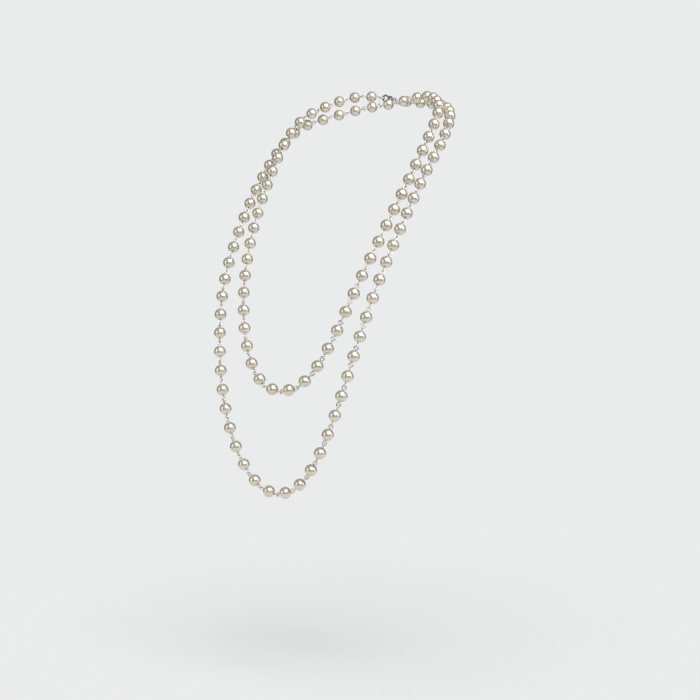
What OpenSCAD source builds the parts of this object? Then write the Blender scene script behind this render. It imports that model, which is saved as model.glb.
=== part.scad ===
// Long pearl rope worn as two turns: drilled pearls on double-eye wire pins,
// joined eye in eye, and closed behind the neck by a lobster clasp.
// Frame: millimetres, +Z up, the wearer faces -Y, and the origin is the nape,
// where the rope rests on the back of the neck.

/* [Pearls] */
// Diameter of each pearl
pearl_d = 8; // [7.6:0.1:8.2]
// Diameter of the hole drilled through each pearl
bore_d = 1; // [0.9:0.05:1.4]

/* [Wire pins] */
// Diameter of the wire of the pins
wire_d = 0.8; // [0.6:0.05:0.85]
// Diameter of the centreline of each eye
eye_d = 2.6; // [2.5:0.05:2.8]
// Play left in each pair of linked eyes
eye_play = 0.2; // [0.1:0.05:0.25]
// Gap between a pearl and the eye beside it
eye_gap = 0.1; // [0.05:0.05:0.2]

/* [Clasp] */
// Outer radius of the clasp's claw
claw_r = 2.9; // [2.8:0.1:3.2]
// Thickness of the claw and of the tail eye
claw_t = 1.1; // [0.9:0.1:1.1]
// Thickness of the clasp's body
shell_t = 2.6; // [2.4:0.1:3]
// Centreline diameter of the jump ring on the tail
jump_d = 3.8; // [3.7:0.1:4.2]
// Centreline diameter of the ring that the claw catches
catch_d = 4.2; // [4.1:0.1:4.6]

/* [Hidden] */
$fn = 48;
STEPS = 12;                                  // curve points between two route points
wire_r = wire_d / 2;
eye_r = eye_d / 2;
eye_x = pearl_d / 2 + eye_gap + eye_r + wire_r;   // eye centre from the pearl's centre
eye_step = eye_d - 2 * wire_r - eye_play;    // between the centres of two linked eyes
pitch = 2 * eye_x + eye_step;                // from one pearl to the next

// Right half of each turn, from its lowest point up to the side of the neck.
// The left half is its mirror image.
OUTER_ROUTE = [
    [0, -163, -275], [17, -163, -268], [32, -163, -247], [44, -160, -216],
    [53, -152, -178], [60, -137, -138], [64, -112, -100], [66, -83, -65],
    [66, -52, -36], [57, -23, -14], [38, 0, -8]
];
INNER_ROUTE = [
    [0, -159, -208], [18, -157, -201], [33, -150, -176], [44, -136, -140],
    [52, -114, -103], [57, -87, -67], [59, -62, -37], [56, -40, -16],
    [45, -23, -7], [29, -4, -2]
];
// The two crossings behind the neck, from right to left.
OVER_ROUTE = [[39, 0, -8], [0, 15, -1], [-33, 0, 3]];
UNDER_ROUTE = [[29, -4, -1], [0, 5, -3], [-30, -1, -7]];
NECK_AXIS = [0, -47, 0];

outer_links = 24;                            // links in half of each turn
inner_links = 19;
outer_top = 18;                              // links below the top hinge, in half
inner_top = 12;
level = 2;                                   // links of each side in one moving body
over_right = 7;                              // links on each side of the clasp
over_left = 5;
under_links = 12;

// Clasp, measured from its own origin: x runs from the tail to the claw, z is its thickness.
tail_x = -4.5;
claw_x = 2.6;
claw_hole_r = 1.5;
tail_hole_r = 0.85;
tail_r = 1.6;
body_x = -1;
body_r = 2.4;
slot_t = 1.1;
lever_t = 0.9;
pivot = [-1.4, 0.3];                         // the rivet that the lever turns on
rivet_r = 0.4;
rivet_head_r = 0.6;
rivet_head_t = 0.2;
gate_from = 195;                             // the gap in the claw, as angles round it
gate_to = 288;
jump_x = tail_x - tail_hole_r + wire_r + eye_play - jump_d / 2;
catch_x = claw_x + claw_hole_r - wire_r - eye_play + catch_d / 2;
clasp_from = jump_x - (jump_d / 2 + eye_r - 2 * wire_r - eye_play) + eye_step / 2;
clasp_to = catch_x + (catch_d / 2 + eye_r - 2 * wire_r - eye_play) - eye_step / 2;
clasp_len = clasp_to - clasp_from;

// ---- Curves ----

// Point at t of the smooth curve from b to c, with a before and d after.
function curve_at(a, b, c, d, t) =
    0.5 * (2 * b + (c - a) * t + (2 * a - 5 * b + 4 * c - d) * t * t
        + (3 * b - a - 3 * c + d) * t * t * t);

// Fine points along the curve through p[1] .. p[len - 2].
function curve(p) = concat(
    [for (i = [1:len(p) - 3]) for (s = [0:STEPS - 1])
        curve_at(p[i - 1], p[i], p[i + 1], p[i + 2], s / STEPS)],
    [p[len(p) - 2]]);

function flip(p) = [-p[0], p[1], p[2]];

// Where the line from a to b leaves the ball of radius r about c.
function leave_ball(a, b, c, r) =
    let (u = b - a, w = a - c, k = u * w)
    a + u * ((-k + sqrt(k * k - (u * u) * (w * w - r * r))) / (u * u));

function first_beyond(q, i, c, r) =
    norm(q[i + 1] - c) >= r ? i : first_beyond(q, i + 1, c, r);

// n more eye points, each one pitch in a straight line from the last.
function walk(q, i, c, n) = n == 0 ? [c] :
    let (j = first_beyond(q, i, c, pitch))
    concat([c], walk(q, j, leave_ball(q[j], q[j + 1], c, pitch), n - 1));

function sums(q, i = 0, s = 0) =
    i == len(q) - 1 ? [s] : concat([s], sums(q, i + 1, s + norm(q[i + 1] - q[i])));

function at_length(q, s, x, i = 0) =
    i == len(q) - 2 || s[i + 1] >= x
        ? q[i] + (q[i + 1] - q[i]) * ((x - s[i]) / (s[i + 1] - s[i]))
        : at_length(q, s, x, i + 1);

function half_turn(route, n) =
    let (q = curve(concat([flip(route[1])], route))) walk(q, 0, q[0], n);

// ---- Eye points, where each link meets the next ----

OUTER = half_turn(OUTER_ROUTE, outer_links);
INNER = half_turn(INNER_ROUTE, inner_links);

OVER_CURVE = curve(concat([OUTER[outer_links - 2], OUTER[outer_links]], OVER_ROUTE,
    [flip(INNER[inner_links]), flip(INNER[inner_links - 2])]));
OVER_SUMS = sums(OVER_CURVE);
over_pitch = (OVER_SUMS[len(OVER_SUMS) - 1] - clasp_len) / (over_right + over_left);
OVER_RIGHT = [for (i = [0:over_right]) at_length(OVER_CURVE, OVER_SUMS, i * over_pitch)];
OVER_LEFT = [for (i = [over_right:over_right + over_left])
    at_length(OVER_CURVE, OVER_SUMS, i * over_pitch + clasp_len)];

UNDER_CURVE = curve(concat([INNER[inner_links - 2], INNER[inner_links]], UNDER_ROUTE,
    [flip(OUTER[outer_links]), flip(OUTER[outer_links - 2])]));
UNDER_SUMS = sums(UNDER_CURVE);
under_pitch = UNDER_SUMS[len(UNDER_SUMS) - 1] / under_links;
UNDER = [for (i = [0:under_links]) at_length(UNDER_CURVE, UNDER_SUMS, i * under_pitch)];

CLASP_A = OVER_RIGHT[over_right];
CLASP_B = OVER_LEFT[0];

// ---- Placing ----

// Moves a child so that x runs from a to b and y points away from the neck.
module between(a, b) {
    c = (a + b) / 2;
    t = (b - a) / norm(b - a);
    away = [c[0] - NECK_AXIS[0], c[1] - NECK_AXIS[1], 0];
    n = away - (away * t) * t;
    y = n / norm(n);
    z = cross(t, y);
    multmatrix([
        [t[0], y[0], z[0], c[0]],
        [t[1], y[1], z[1], c[1]],
        [t[2], y[2], z[2], c[2]],
        [0, 0, 0, 1]
    ]) children();
}

module ring(centre_d, thick_d) {
    rotate_extrude()
        translate([centre_d / 2, 0])
            circle(d = thick_d, $fn = 24);
}

// ---- One link ----

module pearl() {
    rotate([0, 90, 0]) difference() {
        sphere(d = pearl_d);
        cylinder(d = bore_d, h = pearl_d + 1, center = true);
    }
}

// An eye shows its face when turn is 0 and its edge when turn is 1.
module eye(turn) {
    rotate([90 * (1 - turn), 0, 0]) ring(eye_d, wire_d);
}

module pin(turn_a, turn_b) {
    stem = 2 * (eye_x - eye_r);
    rotate([0, 90, 0]) cylinder(d = wire_d, h = stem, center = true);
    translate([-eye_x, 0, 0]) eye(turn_a);
    translate([eye_x, 0, 0]) eye(turn_b);
}

// Pearls or pins on the links from..to of the eye points q.
module pearls_on(q, from, to) {
    color("ivory")
        for (i = [from:to])
            between(q[i], q[i + 1]) pearl();
}

// first is the turn of link 0; the turns alternate, so linked eyes cross.
module pins_on(q, from, to, first, twist_last = false) {
    color("silver")
        for (i = [from:to])
            between(q[i], q[i + 1])
                pin((i + first) % 2, (i + first + (twist_last && i == to ? 1 : 0)) % 2);
}

// ---- The swinging levels, counted down from the top hinge ----

module pearls_level(half, top, k) {
    low = top - level * k;
    pearls_on(half, low, low + level - 1);
    mirror([1, 0, 0]) pearls_on(half, low, low + level - 1);
}

module pins_level(half, top, k) {
    low = top - level * k;
    pins_on(half, low, low + level - 1, 0);
    mirror([1, 0, 0]) pins_on(half, low, low + level - 1, 1);
}

// ---- The part that rests on the neck and shoulders ----

module pearls_right_outer() {
    pearls_on(OUTER, outer_top, outer_links - 1);
}

module pearls_left_outer() {
    mirror([1, 0, 0]) pearls_on(OUTER, outer_top, outer_links - 1);
}

module pearls_right_inner() {
    pearls_on(INNER, inner_top, inner_links - 1);
}

module pearls_left_inner() {
    mirror([1, 0, 0]) pearls_on(INNER, inner_top, inner_links - 1);
}

module pearls_nape_over() {
    pearls_on(OVER_RIGHT, 0, over_right - 1);
    pearls_on(OVER_LEFT, 0, over_left - 1);
}

module pearls_nape_under() {
    pearls_on(UNDER, 0, under_links - 1);
}

module pins_right_outer() {
    pins_on(OUTER, outer_top, outer_links - 1, 0);
}

module pins_left_outer() {
    mirror([1, 0, 0]) pins_on(OUTER, outer_top, outer_links - 1, 1);
}

module pins_right_inner() {
    pins_on(INNER, inner_top, inner_links - 1, 0);
}

module pins_left_inner() {
    mirror([1, 0, 0]) pins_on(INNER, inner_top, inner_links - 1, 1);
}

module pins_nape_over() {
    pins_on(OVER_RIGHT, 0, over_right - 1, 0);
    pins_on(OVER_LEFT, 0, over_left - 1, 0);
}

module pins_nape_under() {
    pins_on(UNDER, 0, under_links - 1, 1, twist_last = true);
}

// ---- Clasp ----

// Moves a child from the clasp's own axes to its place on the rope.
module on_rope() {
    between(CLASP_A, CLASP_B)
        rotate([-90, 0, 0])
            translate([-(clasp_from + clasp_to) / 2, 0, 0])
                children();
}

module plate(t) {
    translate([0, 0, -t / 2]) linear_extrude(t) children();
}

// The part of a disc between two angles, up to 180 degrees apart.
module sector(r, from, to) {
    far = 2 * r;
    mid = (from + to) / 2;
    intersection() {
        circle(r = r);
        polygon([
            [0, 0],
            far * [cos(from), sin(from)],
            far * [cos(mid), sin(mid)],
            far * [cos(to), sin(to)]
        ]);
    }
}

// The space for the lever between the two cheeks of the shell.
module slot_outline() {
    translate(pivot) circle(r = 1.05);
    polygon([[-2.85, 0.3], [-0.4, 0.3], [0.9, -0.5], [1.4, -0.6], [1.6, -3.2], [-3, -3.2]]);
}

module clasp_shell() {
    color("silver") on_rope() difference() {
        union() {
            // Tail eye and the web that joins it to the body
            plate(claw_t) {
                translate([tail_x, 0]) circle(r = tail_r);
                polygon([[tail_x, -1], [body_x, -2.2], [body_x, 2.2], [tail_x, 1]]);
            }
            // Body, with its two cheeks
            plate(shell_t) translate([body_x, 0]) circle(r = body_r);
            // Claw, open at the gate
            plate(claw_t) difference() {
                translate([claw_x, 0]) circle(r = claw_r);
                translate([claw_x, 0]) sector(claw_r + 1, gate_from, gate_to);
            }
        }
        plate(shell_t + 1) {
            translate([claw_x, 0]) circle(r = claw_hole_r);
            translate([tail_x, 0]) circle(r = tail_hole_r);
            translate(pivot) circle(r = rivet_r);
        }
        plate(slot_t) slot_outline();
    }
}

module clasp_lever() {
    color("gainsboro") on_rope() difference() {
        union() {
            plate(lever_t) translate(pivot) circle(r = 0.9);
            // Arm, up to the gate
            plate(lever_t) polygon([[-2.1, 0], [-0.6, 0.2], [1, -0.95], [1, -1.95], [-1.9, -1.6]]);
            plate(lever_t) translate([claw_x, 0]) difference() {
                sector(claw_r - 0.1, 212, 284);
                circle(r = claw_hole_r + 0.15);
            }
            // Thumb piece
            plate(lever_t) polygon([[-1.9, -1.2], [-0.5, -1.4], [-0.5, -3], [-1.5, -3]]);
            plate(lever_t) translate([-1, -3]) circle(r = 0.51);
        }
        plate(lever_t + 1) translate(pivot) circle(r = rivet_r + 0.06);
    }
}

module clasp_rivet() {
    half = shell_t / 2;
    color("silver") on_rope() translate([pivot[0], pivot[1], 0]) {
        cylinder(r = rivet_r, h = shell_t, center = true);
        translate([0, 0, half]) cylinder(r = rivet_head_r, h = rivet_head_t);
        translate([0, 0, -half - rivet_head_t]) cylinder(r = rivet_head_r, h = rivet_head_t);
    }
}

// Leaf spring in the slot, behind the lever's heel
module clasp_spring() {
    color("gray") on_rope() plate(0.8)
        polygon([[-2.8, 0.2], [-2.65, 0.2], [-2.5, -0.6], [-2, -1.7], [-2.14, -1.76], [-2.66, -0.62]]);
}

module clasp_jump_ring() {
    color("silver") on_rope()
        translate([jump_x, 0, 0]) rotate([90, 0, 0]) ring(jump_d, wire_d);
}

module catch_ring() {
    color("silver") on_rope()
        translate([catch_x, 0, 0]) rotate([90, 0, 0]) ring(catch_d, wire_d);
}

// ---- Parts ----

for (k = [1:outer_top / level]) {
    pearls_level(OUTER, outer_top, k);
    pins_level(OUTER, outer_top, k);
}
for (k = [1:inner_top / level]) {
    pearls_level(INNER, inner_top, k);
    pins_level(INNER, inner_top, k);
}
pearls_right_outer();
pearls_left_outer();
pearls_right_inner();
pearls_left_inner();
pearls_nape_over();
pearls_nape_under();
pins_right_outer();
pins_left_outer();
pins_right_inner();
pins_left_inner();
pins_nape_over();
pins_nape_under();
clasp_shell();
clasp_lever();
clasp_rivet();
clasp_spring();
clasp_jump_ring();
catch_ring();
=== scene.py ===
"""Looks of the long pearl rope, worn as two turns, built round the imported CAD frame.

Everything is in metres and in the CAD frame: +Z up, the wearer faces -Y, and the origin is
the nape. Each CAD node is replaced by one piece that lies where the node lies.
"""

import random
from math import asin, cos, pi, radians, sin, sqrt, tau

import bmesh
import bpy
from mathutils import Matrix, Vector, noise


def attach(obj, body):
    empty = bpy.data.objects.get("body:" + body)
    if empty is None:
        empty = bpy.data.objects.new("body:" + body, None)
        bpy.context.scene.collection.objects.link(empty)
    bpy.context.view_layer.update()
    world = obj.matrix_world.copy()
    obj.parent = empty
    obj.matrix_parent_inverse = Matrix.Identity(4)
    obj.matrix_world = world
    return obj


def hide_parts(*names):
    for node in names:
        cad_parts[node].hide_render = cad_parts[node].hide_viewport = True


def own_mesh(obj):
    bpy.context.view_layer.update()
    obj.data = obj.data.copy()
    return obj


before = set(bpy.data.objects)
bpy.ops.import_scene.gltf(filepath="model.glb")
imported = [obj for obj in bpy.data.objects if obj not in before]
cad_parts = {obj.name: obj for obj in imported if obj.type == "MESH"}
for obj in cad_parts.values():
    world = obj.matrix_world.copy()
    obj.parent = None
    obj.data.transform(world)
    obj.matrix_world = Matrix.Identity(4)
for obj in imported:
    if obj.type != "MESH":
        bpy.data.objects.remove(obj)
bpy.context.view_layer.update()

MM = 0.001

# ---- Driving dimensions, the same as the CAD's, in millimetres ----

PEARL_R = 4.0
BORE_R = 0.5
WIRE_R = 0.4
EYE_R = 1.3                                  # radius of an eye's centreline
EYE_PLAY = 0.2
EYE_GAP = 0.1
EYE_X = PEARL_R + EYE_GAP + EYE_R + WIRE_R   # eye centre from the pearl's centre
EYE_STEP = 2 * EYE_R - 2 * WIRE_R - EYE_PLAY
PITCH = 2 * EYE_X + EYE_STEP
CURVE_STEPS = 12                             # curve points between two route points

# Right half of each turn, from its lowest point up to the side of the neck
OUTER_ROUTE = [
    (0, -163, -275), (17, -163, -268), (32, -163, -247), (44, -160, -216),
    (53, -152, -178), (60, -137, -138), (64, -112, -100), (66, -83, -65),
    (66, -52, -36), (57, -23, -14), (38, 0, -8),
]
INNER_ROUTE = [
    (0, -159, -208), (18, -157, -201), (33, -150, -176), (44, -136, -140),
    (52, -114, -103), (57, -87, -67), (59, -62, -37), (56, -40, -16),
    (45, -23, -7), (29, -4, -2),
]
OVER_ROUTE = [(39, 0, -8), (0, 15, -1), (-33, 0, 3)]
UNDER_ROUTE = [(29, -4, -1), (0, 5, -3), (-30, -1, -7)]
NECK_AXIS = Vector((0, -47, 0))

OUTER_LINKS, INNER_LINKS = 24, 19            # links in half of each turn
OUTER_TOP, INNER_TOP = 18, 12                # links below the top hinge, in half
LEVEL = 2                                    # links of each side in one moving body
OVER_RIGHT, OVER_LEFT, UNDER_LINKS = 7, 5, 12

# Clasp, in its own axes: x runs from the tail to the claw, z is its thickness
TAIL_X, CLAW_X = -4.5, 2.6
CLAW_HOLE_R, TAIL_HOLE_R = 1.5, 0.85
PIVOT = Vector((-1.4, 0.3))
SHELL_T = 2.6
RIVET_HEAD_R, RIVET_HEAD_T = 0.6, 0.2
RIVET_R = 0.4
JUMP_R, CATCH_R = 1.9, 2.1                   # centrelines of the two rings
JUMP_X = TAIL_X - TAIL_HOLE_R + WIRE_R + EYE_PLAY - JUMP_R
CATCH_X = CLAW_X + CLAW_HOLE_R - WIRE_R - EYE_PLAY + CATCH_R
CLASP_FROM = JUMP_X - (JUMP_R + EYE_R - 2 * WIRE_R - EYE_PLAY) + EYE_STEP / 2
CLASP_TO = CATCH_X + (CATCH_R + EYE_R - 2 * WIRE_R - EYE_PLAY) - EYE_STEP / 2
CLASP_LEN = CLASP_TO - CLASP_FROM

# ---- Curves ----


def curve_at(a, b, c, d, t):
    """Point at t of the smooth curve from b to c, with a before and d after."""
    return 0.5 * (2 * b + (c - a) * t + (2 * a - 5 * b + 4 * c - d) * t * t
                  + (3 * b - a - 3 * c + d) * t * t * t)


def curve(points):
    """Fine points along the smooth curve through all but the first and last point."""
    p = [Vector(q) for q in points]
    fine = []
    for i in range(1, len(p) - 2):
        for step in range(CURVE_STEPS):
            fine.append(curve_at(p[i - 1], p[i], p[i + 1], p[i + 2], step / CURVE_STEPS))
    return fine + [p[-2]]


def flip(p):
    return Vector((-p[0], p[1], p[2]))


def half_turn(route, links):
    """Eye points from the lowest point upwards, each one pitch in a straight line apart."""
    q = curve([flip(route[1])] + list(route))
    eyes, i = [q[0]], 0
    while len(eyes) <= links:
        here = eyes[-1]
        while (q[i + 1] - here).length < PITCH:
            i += 1
        u, w = q[i + 1] - q[i], q[i] - here
        k = u.dot(w)
        root = sqrt(k * k - u.dot(u) * (w.dot(w) - PITCH * PITCH))
        eyes.append(q[i] + u * ((root - k) / u.dot(u)))
    return eyes


def lengths(q):
    """Length along the polyline q up to each of its points."""
    total = [0.0]
    for a, b in zip(q, q[1:]):
        total.append(total[-1] + (b - a).length)
    return total


def at_length(q, total, x):
    """Point of the polyline q at length x along it."""
    i = 0
    while i < len(q) - 2 and total[i + 1] < x:
        i += 1
    return q[i] + (q[i + 1] - q[i]) * ((x - total[i]) / (total[i + 1] - total[i]))


def nape_eyes():
    """Eye points of the two crossings behind the neck: over, right then left, and under."""
    over = curve([OUTER[-3], OUTER[-1], *OVER_ROUTE, flip(INNER[-1]), flip(INNER[-3])])
    total = lengths(over)
    step = (total[-1] - CLASP_LEN) / (OVER_RIGHT + OVER_LEFT)
    right = [at_length(over, total, i * step) for i in range(OVER_RIGHT + 1)]
    left = [at_length(over, total, i * step + CLASP_LEN)
            for i in range(OVER_RIGHT, OVER_RIGHT + OVER_LEFT + 1)]
    under = curve([INNER[-3], INNER[-1], *UNDER_ROUTE, flip(OUTER[-1]), flip(OUTER[-3])])
    total = lengths(under)
    step = total[-1] / UNDER_LINKS
    return right, left, [at_length(under, total, i * step) for i in range(UNDER_LINKS + 1)]


OUTER = half_turn(OUTER_ROUTE, OUTER_LINKS)
INNER = half_turn(INNER_ROUTE, INNER_LINKS)
NAPE_RIGHT, NAPE_LEFT, UNDER = nape_eyes()


def between(a, b):
    """Axes whose x runs from a to b and whose y points away from the neck, in millimetres."""
    c = (a + b) / 2
    x = (b - a).normalized()
    away = Vector((c.x - NECK_AXIS.x, c.y - NECK_AXIS.y, 0))
    y = (away - away.dot(x) * x).normalized()
    z = x.cross(y)
    return Matrix((
        (x.x, y.x, z.x, c.x),
        (x.y, y.y, z.y, c.y),
        (x.z, y.z, z.z, c.z),
        (0, 0, 0, 1),
    ))


# ---- Links of each node: (axes, turn of the first eye, turn of the second) ----

MIRROR = Matrix.Diagonal((-1, 1, 1, 1))


def links_on(eyes, first_link, last_link, first_turn, mirrored=False, twist_last=False):
    """Links between consecutive eyes, whose eyes turn by 90 degrees from link to link."""
    links = []
    for i in range(first_link, last_link + 1):
        axes = between(eyes[i], eyes[i + 1])
        if mirrored:
            axes = MIRROR @ axes
        turn = (i + first_turn) % 2
        far = (turn + 1) % 2 if twist_last and i == last_link else turn
        links.append((axes, turn, far))
    return links


def both_sides(eyes, top, k):
    """Links of the k-th level below the top hinge, on the right and then on the left."""
    low = top - LEVEL * k
    right = links_on(eyes, low, low + LEVEL - 1, 0)
    return right + links_on(eyes, low, low + LEVEL - 1, 1, mirrored=True)


def all_strings():
    """(name of the stretch, its body, its links) for the whole rope."""
    rows = []
    for k in range(1, OUTER_TOP // LEVEL + 1):
        rows.append((f"outer_{k}", f"outer_{k}", both_sides(OUTER, OUTER_TOP, k)))
    for k in range(1, INNER_TOP // LEVEL + 1):
        rows.append((f"inner_{k}", f"inner_{k}", both_sides(INNER, INNER_TOP, k)))
    fixed = {
        "right_outer": links_on(OUTER, OUTER_TOP, OUTER_LINKS - 1, 0),
        "left_outer": links_on(OUTER, OUTER_TOP, OUTER_LINKS - 1, 1, mirrored=True),
        "right_inner": links_on(INNER, INNER_TOP, INNER_LINKS - 1, 0),
        "left_inner": links_on(INNER, INNER_TOP, INNER_LINKS - 1, 1, mirrored=True),
        "nape_over": (links_on(NAPE_RIGHT, 0, OVER_RIGHT - 1, 0)
                      + links_on(NAPE_LEFT, 0, OVER_LEFT - 1, 0)),
        "nape_under": links_on(UNDER, 0, UNDER_LINKS - 1, 1, twist_last=True),
    }
    for name, links in fixed.items():
        rows.append((name, "neck_rope", links))
    return rows


# ---- Mesh helpers ----


def make_object(name, bm, material):
    """A mesh object from bm, which is in millimetres, smooth and in metres."""
    bmesh.ops.recalc_face_normals(bm, faces=bm.faces)
    mesh = bpy.data.meshes.new(name)
    bm.to_mesh(mesh)
    bm.free()
    mesh.transform(Matrix.Scale(MM, 4))
    mesh.shade_smooth()
    mesh.materials.append(material)
    piece = bpy.data.objects.new(name, mesh)
    bpy.context.scene.collection.objects.link(piece)
    return piece


def sweep(bm, layers, path, radius, sides, values, closed=False):
    """A round wire along path, a list of points. values are (tone, along, crook) per ring."""
    rings = []
    count = len(path)
    normal = None
    for i, p in enumerate(path):
        before = path[i - 1] if i or closed else path[i]
        after = path[(i + 1) % count] if i < count - 1 or closed else path[i]
        t = (after - before).normalized()
        if normal is None:
            normal = t.orthogonal().normalized()
        normal = (normal - normal.dot(t) * t).normalized()
        side = t.cross(normal)
        r = radius[i] if isinstance(radius, list) else radius
        ring = []
        for s in range(sides):
            a = tau * s / sides
            v = bm.verts.new(p + (normal * cos(a) + side * sin(a)) * r)
            for layer, value in zip(layers, values(i)):
                v[layer] = value
            ring.append(v)
        rings.append(ring)
    pairs = list(zip(rings, rings[1:]))
    if closed:
        pairs.append((rings[-1], rings[0]))
    for a, b in pairs:
        for s in range(sides):
            n = (s + 1) % sides
            bm.faces.new((a[s], a[n], b[n], b[s]))
    if not closed:
        bm.faces.new(rings[0][::-1])
        bm.faces.new(rings[-1])


# ---- Pearls ----

PEARL_RINGS, PEARL_SIDES = 26, 44
RIM_R = 0.07                                 # rounding where the drill came out
LUMP, DIMPLE = 0.005, 0.0008                 # how far out of round, as shares of the radius
LUMPS_PER_MM = 0.33
SQUASH_ALONG = (0.975, 1.0)                  # range of a pearl's length, as a share
SQUASH_ACROSS = (0.985, 1.0)
WEAR_SPREAD = 0.14                           # worn ring round the hole, as an angle
BORE_WALL_R = BORE_R * 1.2                   # points inside this radius are the bore's
BORE_LENGTH = 0.99                           # keeps the bore's edge under the skin
SEED_RANGE = 90


def pearl_profile():
    """Half outline of a drilled pearl, as (x, radius, wear), closed through the bore."""
    rim = BORE_R + RIM_R
    first = asin(rim / PEARL_R)
    skin = []
    for i in range(PEARL_RINGS + 1):
        a = first + (pi - 2 * first) * i / PEARL_RINGS
        near_hole = max(0.0, 1 - min(a - first, pi - first - a) / WEAR_SPREAD)
        skin.append((PEARL_R * cos(a), PEARL_R * sin(a), near_hole))
    end_x = PEARL_R * cos(first)
    bore = []
    for side in (-1, 1):
        lip = []
        for a in (35, 65, 90):
            lip.append((side * (end_x - RIM_R * (1 - cos(radians(a)))),
                        BORE_R + RIM_R * (1 - sin(radians(a))), 1.0))
        bore.extend(lip if side < 0 else lip[::-1])
    return skin + bore


PROFILE = pearl_profile()


def add_pearl(bm, layers, axes, rng):
    """One drilled pearl, a little out of round, with its own tone and wear at the hole."""
    tone_layer, wear_layer = layers
    tone = (rng.random(), rng.random(), rng.random(), 1.0)
    spin = rng.uniform(0, tau)
    squash = [rng.uniform(*limits) for limits in (SQUASH_ALONG, SQUASH_ACROSS, SQUASH_ACROSS)]
    seed = Vector([rng.uniform(-SEED_RANGE, SEED_RANGE) for _ in range(3)])
    rings = []
    for s in range(PEARL_SIDES):
        a = spin + tau * s / PEARL_SIDES
        ring = []
        for x, r, wear in PROFILE:
            p = Vector((x, r * cos(a), r * sin(a)))
            if r > BORE_WALL_R:
                lump = (noise.noise(p * LUMPS_PER_MM + seed) * LUMP
                        + noise.noise(p + seed) * DIMPLE)
                p *= 1 - LUMP - DIMPLE + lump
                p = Vector((p.x * squash[0], p.y * squash[1], p.z * squash[2]))
            else:
                p.x *= squash[0] * BORE_LENGTH
            v = bm.verts.new(axes @ p)
            v[tone_layer] = tone
            v[wear_layer] = wear
            ring.append(v)
        rings.append(ring)
    count = len(PROFILE)
    for s in range(PEARL_SIDES):
        a, b = rings[s], rings[(s + 1) % PEARL_SIDES]
        for i in range(count):
            n = (i + 1) % count
            bm.faces.new((a[i], a[n], b[n], b[i]))


def pearls_piece(name, body, links, material):
    bm = bmesh.new()
    layers = (bm.verts.layers.float_color.new("tone"), bm.verts.layers.float.new("wear"))
    rng = random.Random("pearls " + name)
    for axes, _, _ in links:
        add_pearl(bm, layers, axes, rng)
    piece = make_object(f"nacre_{name}", bm, material)
    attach(piece, body)
    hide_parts(f"pearls_{name}")


# ---- Wire pins ----

WIRE_SIDES = 12
LOOP_FROM, LOOP_TO = 152, -146               # where the wire enters and leaves an eye
ENTRY_PLAY, CUT_PLAY = 3, 4                  # how much those two vary, in degrees
LOOP_STEPS = 34
KINK_STEPS = 5                               # points between the pearl and the eye
KINK_OUT, KINK_IN = 0.42, 0.34               # how far the wire runs straight at each end of it
STEM_X = PEARL_R - 0.1                       # where the stem starts to bend
STEM_POINTS = (-2.5, 0, 2.5)
NIP = 0.86                                   # radius of a nipped end, as a share
LEAN = 4                                     # most that an eye leans, in degrees


def eye_path(rng):
    """Centreline from inside the pearl, through the kink, and round the eye to the cut end."""
    start = LOOP_FROM + rng.uniform(-ENTRY_PLAY, ENTRY_PLAY)
    end = LOOP_TO + rng.uniform(-CUT_PLAY, CUT_PLAY)
    enter = radians(start)
    loop_start = Vector((EYE_X + EYE_R * cos(enter), EYE_R * sin(enter), 0))
    heading = Vector((sin(enter), -cos(enter), 0))
    neck = Vector((STEM_X, 0, 0))
    path = []
    a, b = neck + Vector((KINK_OUT, 0, 0)), loop_start - heading * KINK_IN
    for i in range(KINK_STEPS):
        t = i / KINK_STEPS
        path.append(neck * (1 - t) ** 3 + a * 3 * t * (1 - t) ** 2
                    + b * 3 * t * t * (1 - t) + loop_start * t ** 3)
    for i in range(LOOP_STEPS + 1):
        angle = radians(start + (end - start) * i / LOOP_STEPS)
        path.append(Vector((EYE_X + EYE_R * cos(angle), EYE_R * sin(angle), 0)))
    return path


def add_pin(bm, layers, axes, turn_a, turn_b, rng):
    """One wire: an eye, the straight stem through the pearl, and the other eye."""
    ends = []
    for turn, side in ((turn_a, -1), (turn_b, 1)):
        lean = Matrix.Rotation(radians(90 * (1 - turn) + rng.uniform(-LEAN, LEAN)), 3, "X")
        flip_loop = rng.choice((-1, 1))
        end = []
        for p in eye_path(rng):
            q = lean @ Vector((p.x, p.y * flip_loop, p.z))
            end.append(Vector((q.x * side, q.y * side, q.z)))
        ends.append(end)
    stem = [Vector((x, 0, 0)) for x in STEM_POINTS]
    local = ends[0][::-1] + stem + ends[1]
    path = [axes @ p for p in local]
    tone = rng.random()
    radius = [WIRE_R] * len(path)
    radius[0] = radius[-1] = WIRE_R * NIP
    count = len(path)

    def values(i):
        """Tone, place along the wire, and how sharply it was bent or cut there."""
        from_end = min(i, count - 1 - i)
        crook = max(0.0, 1 - abs(from_end - LOOP_STEPS - 3) / 6)
        return tone, i / count, max(crook, 1 - from_end / 2 if from_end < 2 else 0)

    sweep(bm, layers, path, radius, WIRE_SIDES, values)


def wire_layers(bm):
    return [bm.verts.layers.float.new(n) for n in ("tone", "along", "crook")]


def pins_piece(name, body, links, material):
    bm = bmesh.new()
    layers = wire_layers(bm)
    rng = random.Random("pins " + name)
    for axes, turn_a, turn_b in links:
        add_pin(bm, layers, axes, turn_a, turn_b, rng)
    piece = make_object(f"wire_{name}", bm, material)
    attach(piece, body)
    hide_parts(f"pins_{name}")


# ---- Clasp ----

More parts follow.
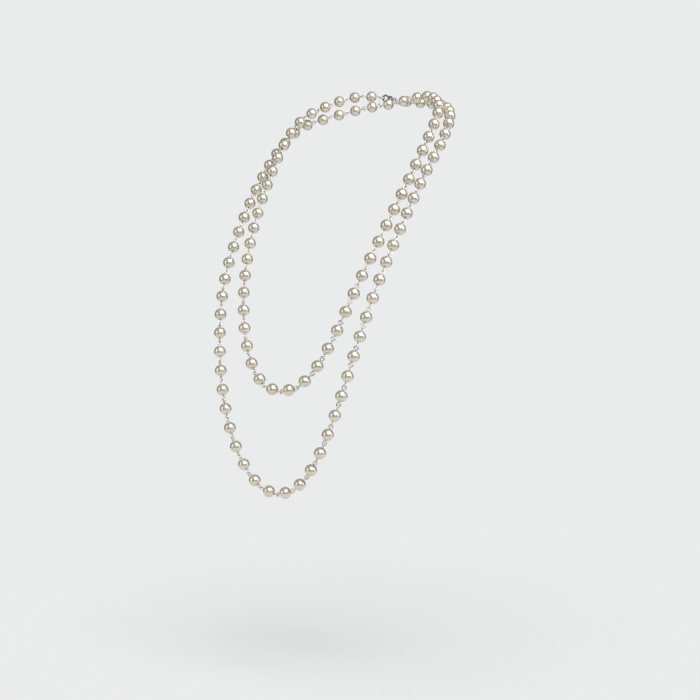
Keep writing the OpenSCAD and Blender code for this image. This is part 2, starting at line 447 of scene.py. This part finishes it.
CLASP_AXES = (between(NAPE_RIGHT[-1], NAPE_LEFT[0])
              @ Matrix.Rotation(radians(-90), 4, "X")
              @ Matrix.Translation((-(CLASP_FROM + CLASP_TO) / 2, 0, 0)))
VOXEL = 0.05
SMOOTH_TIMES, SMOOTH_FACTOR = 6, 0.5
RING_STEPS, RING_SIDES = 56, 16
RIVET_SIDES = 32
JUMP_SLIT = 0.12                             # width of the cut in the jump ring


def softened(node, name, material):
    """The CAD node's own form, remeshed and smoothed so that its edges look cast."""
    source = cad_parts[node]
    mesh = source.data.copy()
    mesh.transform(Matrix.Scale(1 / MM, 4))
    piece = bpy.data.objects.new(name, mesh)
    bpy.context.scene.collection.objects.link(piece)
    remesh = piece.modifiers.new("remesh", "REMESH")
    remesh.mode = "VOXEL"
    remesh.voxel_size = VOXEL
    smooth = piece.modifiers.new("smooth", "SMOOTH")
    smooth.iterations = SMOOTH_TIMES
    smooth.factor = SMOOTH_FACTOR
    bpy.context.view_layer.update()
    done = bpy.data.meshes.new_from_object(piece.evaluated_get(
        bpy.context.evaluated_depsgraph_get()))
    piece.modifiers.clear()
    piece.data = done
    done.transform(Matrix.Scale(MM, 4))
    done.name = name
    done.materials.clear()
    done.materials.append(material)
    done.shade_smooth()
    return piece


def ring_piece(name, node, centre_x, radius, slit, material):
    """A ring of bent wire in the clasp's x and z, cut through at a slit or soldered shut."""
    bm = bmesh.new()
    layers = wire_layers(bm)
    steps = RING_STEPS
    span = tau - (slit / radius if slit else 0)
    path = []
    for i in range(steps + (1 if slit else 0)):
        a = pi / 2 - (tau - span) / 2 - span * i / steps
        path.append(CLASP_AXES @ Vector((centre_x + radius * cos(a), 0, radius * sin(a))))
    sweep(bm, layers, path, WIRE_R, RING_SIDES, lambda i: (0.5, i / steps, 0.0),
          closed=not slit)
    piece = make_object(name, bm, material)
    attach(piece, "neck_rope")
    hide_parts(node)


def rivet_piece(material):
    """The rivet, with a domed head on each side."""
    half = SHELL_T / 2
    outline = [(0, half + RIVET_HEAD_T)]
    for a in (25, 45, 62, 78, 90):
        outline.append((RIVET_HEAD_R * sin(radians(a)), half + RIVET_HEAD_T * cos(radians(a))))
    outline.append((RIVET_HEAD_R, half))
    outline.append((RIVET_R, half))
    outline += [(r, -z) for r, z in outline[::-1]]
    sides = RIVET_SIDES
    bm = bmesh.new()
    layers = wire_layers(bm)
    rings = []
    for r, z in outline:
        if r == 0:
            rings.append([bm.verts.new(CLASP_AXES @ Vector((PIVOT.x, PIVOT.y, z)))])
            continue
        rings.append([
            bm.verts.new(CLASP_AXES @ Vector((
                PIVOT.x + r * cos(tau * s / sides), PIVOT.y + r * sin(tau * s / sides), z)))
            for s in range(sides)])
    for a, b in zip(rings, rings[1:]):
        for s in range(sides):
            n = (s + 1) % sides
            corners = [a[s % len(a)], a[n % len(a)], b[n % len(b)], b[s % len(b)]]
            bm.faces.new(list(dict.fromkeys(corners)))
    bmesh.ops.remove_doubles(bm, verts=bm.verts, dist=1e-5)
    for layer, value in zip(layers, (0.5, 0.0, 0.0)):
        for v in bm.verts:
            v[layer] = value
    piece = make_object("rivet_set", bm, material)
    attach(piece, "clasp")
    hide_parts("clasp_rivet")


def squash_spring(piece):
    """Gives the leaf spring its own copy of its mesh; its form is left as it is."""
    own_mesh(piece)


# ---- Materials ----


class Shader:
    """A material's node tree, with short calls to add and link nodes."""

    def __init__(self, name):
        self.material = bpy.data.materials.new(name)
        self.material.use_nodes = True
        self.tree = self.material.node_tree
        self.bsdf = self.tree.nodes["Principled BSDF"]
        self.coords = self.add("ShaderNodeTexCoord").outputs["Object"]

    def add(self, kind, **settings):
        node = self.tree.nodes.new(kind)
        for key, value in settings.items():
            setattr(node, key, value)
        return node

    def link(self, source, target):
        self.tree.links.new(source, target)

    def put(self, **values):
        for key, value in values.items():
            self.bsdf.inputs[key.replace("_", " ")].default_value = value

    def attribute(self, name, output="Fac"):
        return self.add("ShaderNodeAttribute", attribute_name=name).outputs[output]

    def noise(self, scale, detail=3.0, distortion=0.0, rough=0.5):
        node = self.add("ShaderNodeTexNoise")
        node.inputs["Scale"].default_value = scale
        node.inputs["Detail"].default_value = detail
        node.inputs["Distortion"].default_value = distortion
        node.inputs["Roughness"].default_value = rough
        self.link(self.coords, node.inputs["Vector"])
        return node.outputs["Fac"]

    def remap(self, source, low, high, to_low, to_high):
        node = self.add("ShaderNodeMapRange")
        for key, value in zip(("From Min", "From Max", "To Min", "To Max"),
                              (low, high, to_low, to_high)):
            node.inputs[key].default_value = value
        self.link(source, node.inputs["Value"])
        return node.outputs["Result"]

    def ramp(self, source, stops):
        node = self.add("ShaderNodeValToRGB")
        while len(node.color_ramp.elements) < len(stops):
            node.color_ramp.elements.new(0.5)
        for element, (place, colour) in zip(node.color_ramp.elements, stops):
            element.position = place
            element.color = (*colour, 1)
        self.link(source, node.inputs["Fac"])
        return node.outputs["Color"]

    def mix(self, factor, a, b, blend="MIX"):
        node = self.add("ShaderNodeMix", data_type="RGBA", blend_type=blend)
        for socket, value in ((node.inputs[0], factor), (node.inputs[6], a), (node.inputs[7], b)):
            if isinstance(value, bpy.types.NodeSocket):
                self.link(value, socket)
            elif isinstance(value, tuple):
                socket.default_value = (*value, 1)
            else:
                socket.default_value = value
        return node.outputs[2]

    def maths(self, operation, a, b):
        node = self.add("ShaderNodeMath", operation=operation)
        for socket, value in zip(node.inputs, (a, b)):
            if isinstance(value, bpy.types.NodeSocket):
                self.link(value, socket)
            else:
                socket.default_value = value
        return node.outputs[0]

    def bump(self, height, strength, distance):
        node = self.add("ShaderNodeBump")
        node.inputs["Strength"].default_value = strength
        node.inputs["Distance"].default_value = distance
        self.link(height, node.inputs["Height"])
        self.link(node.outputs["Normal"], self.bsdf.inputs["Normal"])


def nacre():
    """Cream to champagne pearl coating: satin below, glossy lacquer above."""
    s = Shader("nacre")
    tone = s.add("ShaderNodeSeparateColor")
    s.link(s.attribute("tone", "Color"), tone.inputs["Color"])
    body = s.ramp(tone.outputs[0], [
        (0.0, (0.80, 0.71, 0.54)),
        (0.35, (0.85, 0.77, 0.61)),
        (0.65, (0.83, 0.73, 0.59)),
        (1.0, (0.77, 0.72, 0.56)),
    ])
    overtone = s.ramp(tone.outputs[1], [
        (0.0, (0.88, 0.72, 0.63)),
        (0.5, (0.86, 0.79, 0.65)),
        (1.0, (0.74, 0.76, 0.60)),
    ])
    cloud = s.remap(s.noise(240, 3, 0.6), 0.35, 0.65, 0.0, 0.45)
    colour = s.mix(cloud, body, overtone)
    growth = s.noise(1500, 4, 1.2)
    colour = s.mix(s.remap(growth, 0.3, 0.7, 0.0, 0.16), colour, (0.66, 0.58, 0.42))
    wear = s.attribute("wear")
    ragged = s.maths("MULTIPLY", wear, s.remap(s.noise(2600, 2), 0.3, 0.7, 0.4, 1.0))
    colour = s.mix(ragged, colour, (0.42, 0.33, 0.20))
    s.link(colour, s.bsdf.inputs["Base Color"])
    gloss = s.remap(s.noise(900, 4, 0.4), 0.3, 0.7, 0.13, 0.20)
    s.link(s.maths("ADD", gloss, s.maths("MULTIPLY", ragged, 0.25)), s.bsdf.inputs["Roughness"])
    s.put(Metallic=0.55, Coat_Weight=1.0, Coat_Roughness=0.04, Coat_IOR=1.6)
    s.put(Thin_Film_Thickness=380.0, Thin_Film_IOR=1.35)
    s.bump(s.maths("ADD", growth, s.noise(5200, 3)), 0.05, 0.00001)
    return s.material


def silver_wire():
    """Bright silver plate with a fine bumped grain and darker metal where the wire kinks."""
    s = Shader("silver_wire")
    tone = s.attribute("tone")
    plate = s.ramp(tone, [(0.0, (0.80, 0.78, 0.74)), (1.0, (0.90, 0.88, 0.85))])
    patch = s.remap(s.noise(1300, 4, 0.8), 0.45, 0.72, 0.0, 0.5)
    colour = s.mix(patch, plate, (0.62, 0.57, 0.48))
    colour = s.mix(s.maths("MULTIPLY", s.attribute("crook"), 0.55), colour, (0.34, 0.31, 0.27))
    s.link(colour, s.bsdf.inputs["Base Color"])
    s.link(s.remap(s.noise(3000, 5), 0.3, 0.7, 0.08, 0.24), s.bsdf.inputs["Roughness"])
    s.put(Metallic=1.0)
    s.bump(s.noise(9000, 3), 0.12, 0.00001)
    return s.material


def cast_silver(name, light, dark, rough):
    """Polished or brushed small metal parts, a little uneven from plating and handling."""
    s = Shader(name)
    patch = s.remap(s.noise(700, 4, 0.8), 0.42, 0.7, 0.0, 0.55)
    scuff = s.remap(s.noise(5200, 2, 3.0), 0.56, 0.64, 0.0, 0.5)
    s.link(s.mix(scuff, s.mix(patch, light, dark), dark), s.bsdf.inputs["Base Color"])
    s.link(s.remap(s.noise(2200, 5), 0.3, 0.7, rough, rough * 2.4), s.bsdf.inputs["Roughness"])
    s.put(Metallic=1.0)
    s.bump(s.noise(4200, 4), 0.16, 0.00001)
    return s.material


# ---- Stage, light and camera ----

FLOOR_Z = -0.376
STAND_CENTRE = Vector((0.0, -0.09, -0.14))   # middle of the necklace
CAMERA_AT = Vector((0.465, -0.874, -0.130))
CAMERA_TURN, CAMERA_TILT = 29.98, -3.39      # degrees round Z, and above the horizon
LENS = 67.5
BACKDROP = (0.823, 0.833, 0.836)
FLOOR_R = 0.55
FLOOR_WASH = 2.75                            # sun strength that brings the floor to BACKDROP


# Name, its way from the necklace (right, up, towards the camera), distance, width, height, watts
SOFTBOXES = (
    ("key", 0.36, 0.71, 0.58, 1.0, 1.3, 1.2, 13),
    ("left_fill", -0.92, 0.18, 0.35, 1.1, 0.6, 0.9, 2.2),
    ("right_fill", 0.97, 0.10, 0.20, 1.1, 0.4, 0.8, 1.4),
)


def add_camera():
    data = bpy.data.cameras.new("camera")
    data.lens = LENS
    data.sensor_width = 36.0
    data.clip_start = 0.01
    data.clip_end = 50.0
    camera = bpy.data.objects.new("camera", data)
    camera.location = CAMERA_AT
    camera.rotation_euler = (radians(90 + CAMERA_TILT), 0, radians(CAMERA_TURN))
    bpy.context.scene.collection.objects.link(camera)
    bpy.context.scene.camera = camera


def add_softbox(name, right, up, towards, distance, width, height, watts):
    """An area light placed by camera-side directions and aimed at the necklace."""
    turn = radians(CAMERA_TURN)
    across = Vector((cos(turn), sin(turn), 0))
    back = Vector((sin(turn), -cos(turn), 0))
    way = (across * right + Vector((0, 0, 1)) * up + back * towards).normalized()
    data = bpy.data.lights.new(name, "AREA")
    data.shape = "RECTANGLE"
    data.size, data.size_y = width, height
    data.energy = watts
    light = bpy.data.objects.new(name, data)
    light.location = STAND_CENTRE + way * distance
    light.rotation_euler = (-way).to_track_quat("-Z", "Y").to_euler()
    bpy.context.scene.collection.objects.link(light)
    return light


def add_world():
    """A plain pale backdrop for the eye, and a dim room for reflections."""
    world = bpy.data.worlds.new("studio")
    world.use_nodes = True
    bpy.context.scene.world = world
    tree = world.node_tree
    output = tree.nodes["World Output"]
    room = tree.nodes["Background"]
    room.inputs["Color"].default_value = (0.80, 0.86, 0.95, 1)
    room.inputs["Strength"].default_value = 0.20
    seen = tree.nodes.new("ShaderNodeBackground")
    seen.inputs["Color"].default_value = (*BACKDROP, 1)
    path = tree.nodes.new("ShaderNodeLightPath")
    mix = tree.nodes.new("ShaderNodeMixShader")
    tree.links.new(path.outputs["Is Camera Ray"], mix.inputs[0])
    tree.links.new(room.outputs[0], mix.inputs[1])
    tree.links.new(seen.outputs[0], mix.inputs[2])
    tree.links.new(mix.outputs[0], output.inputs["Surface"])


def add_floor():
    """A plain pale round floor, lit evenly to the backdrop's brightness; returns the floor."""
    bm = bmesh.new()
    bmesh.ops.create_circle(bm, cap_ends=True, radius=FLOOR_R / MM, segments=96)
    s = Shader("floor")
    s.put(Roughness=0.9, Specular_IOR_Level=0.0)
    s.link(s.mix(s.remap(s.noise(300, 4), 0.3, 0.7, 0.0, 1.0), (0.80, 0.80, 0.79),
                 (0.79, 0.79, 0.78)), s.bsdf.inputs["Base Color"])
    floor = make_object("floor", bm, s.material)
    floor.location = (0, STAND_CENTRE.y, FLOOR_Z)
    data = bpy.data.lights.new("floor_wash", "SUN")
    data.energy = FLOOR_WASH
    data.angle = radians(50)
    wash = bpy.data.objects.new("floor_wash", data)
    bpy.context.scene.collection.objects.link(wash)
    wash.light_linking.receiver_collection = linked("floor_only", floor, "INCLUDE")
    return floor


def linked(name, obj, state):
    """A light's receivers: obj alone, or everything but obj."""
    group = bpy.data.collections.new(name)
    group.objects.link(obj)
    group.collection_objects[0].light_linking.link_state = state
    return group


# ---- Build ----


def build():
    bpy.context.scene.view_settings.view_transform = "Standard"
    add_camera()
    add_world()
    not_floor = linked("all_but_floor", add_floor(), "EXCLUDE")
    for softbox in SOFTBOXES:
        add_softbox(*softbox).light_linking.receiver_collection = not_floor

    pearl, wire = nacre(), silver_wire()
    cast = cast_silver("cast_silver", (0.88, 0.86, 0.83), (0.60, 0.56, 0.50), 0.10)
    steel = cast_silver("spring_steel", (0.60, 0.60, 0.61), (0.38, 0.37, 0.37), 0.22)
    for name, body, links in all_strings():
        pearls_piece(name, body, links, pearl)
        pins_piece(name, body, links, wire)

    ring_piece("jump_ring_bent", "clasp_jump_ring", JUMP_X, JUMP_R, JUMP_SLIT, wire)
    ring_piece("catch_ring_soldered", "catch_ring", CATCH_X, CATCH_R, 0, wire)
    rivet_piece(cast)
    for node, name, body, slot, material in (
            ("clasp_shell", "shell_cast", "clasp", "clasp_metal", cast),
            ("clasp_lever", "lever_cast", "clasp_lever", "clasp_metal", cast),
            ("clasp_spring", "spring_leaf", "clasp", "spring_steel", steel)):
        piece = softened(node, name, material)
        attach(piece, body)
        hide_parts(node)
    squash_spring(piece)


build()
